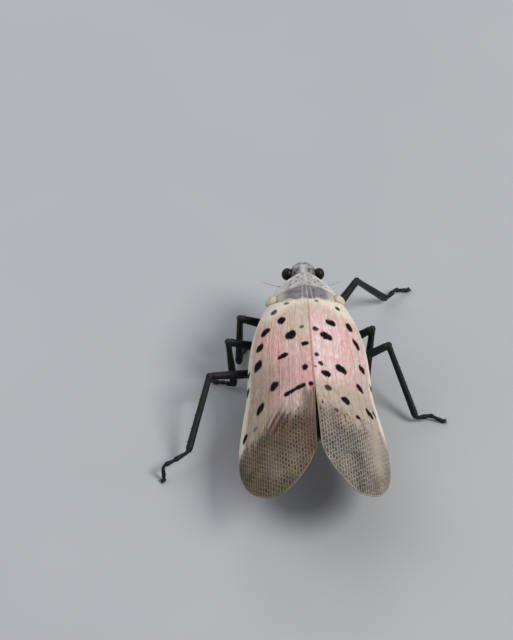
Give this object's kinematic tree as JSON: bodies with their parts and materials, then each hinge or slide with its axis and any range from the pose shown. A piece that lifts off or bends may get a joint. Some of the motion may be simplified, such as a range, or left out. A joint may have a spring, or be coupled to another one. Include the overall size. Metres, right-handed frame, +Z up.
{
  "type": "spotted lanternfly",
  "caption": "Adult spotted lanternfly, life size, standing with its spotted forewings folded like a roof over the body.",
  "frame": {"origin": "on the floor, below the middle of the model's outline, legs included", "axes": "+Z up, +X to the insect's left, +Y from its head back to its wing tips"},
  "size_m": [0.0256, 0.0286, 0.0092],
  "materials": {
    "forewings": "satin pinkish tan membrane with near-black spots and a netted grey-brown rear third",
    "hindwings": "satin membrane, red with black spots, a white band and a black tip",
    "pronotum": "matt pale grey cuticle with a fine keel and small dark pits",
    "mesonotum": "matt purplish grey cuticle",
    "tegulae": "matt cream cuticle",
    "head": "satin dark grey-brown cuticle, pale on the crown",
    "thorax": "satin dark brown cuticle with paler seams",
    "eyes": "glossy near-black with fine facets",
    "antennae": "satin orange bulb with a dark bristle",
    "abdomen": "satin yellow with black bands",
    "rostrum": "satin blackish brown",
    "legs": "satin black with a bluish sheen"
  },
  "bodies": {
    "root": {"head": "head", "pronotum": "pronotum", "mesonotum": "mesonotum", "thorax": "thorax", "abdomen": "abdomen", "rostrum": "rostrum", "eye_left": "eyes", "antenna_left": "antennae", "tegula_left": "tegulae", "forewing_left": "forewings", "hindwing_left": "hindwings", "eye_right": "eyes", "antenna_right": "antennae", "tegula_right": "tegulae", "forewing_right": "forewings", "hindwing_right": "hindwings", "coxa_front_left": "legs", "femur_front_left": "legs", "tibia_front_left": "legs", "tarsus_front_left": "legs", "coxa_front_right": "legs", "femur_front_right": "legs", "tibia_front_right": "legs", "tarsus_front_right": "legs", "coxa_mid_left": "legs", "femur_mid_left": "legs", "tibia_mid_left": "legs", "tarsus_mid_left": "legs", "coxa_mid_right": "legs", "femur_mid_right": "legs", "tibia_mid_right": "legs", "tarsus_mid_right": "legs", "coxa_hind_left": "legs", "femur_hind_left": "legs", "tibia_hind_left": "legs", "tarsus_hind_left": "legs", "coxa_hind_right": "legs", "femur_hind_right": "legs", "tibia_hind_right": "legs", "tarsus_hind_right": "legs"}
  },
  "joints": []
}
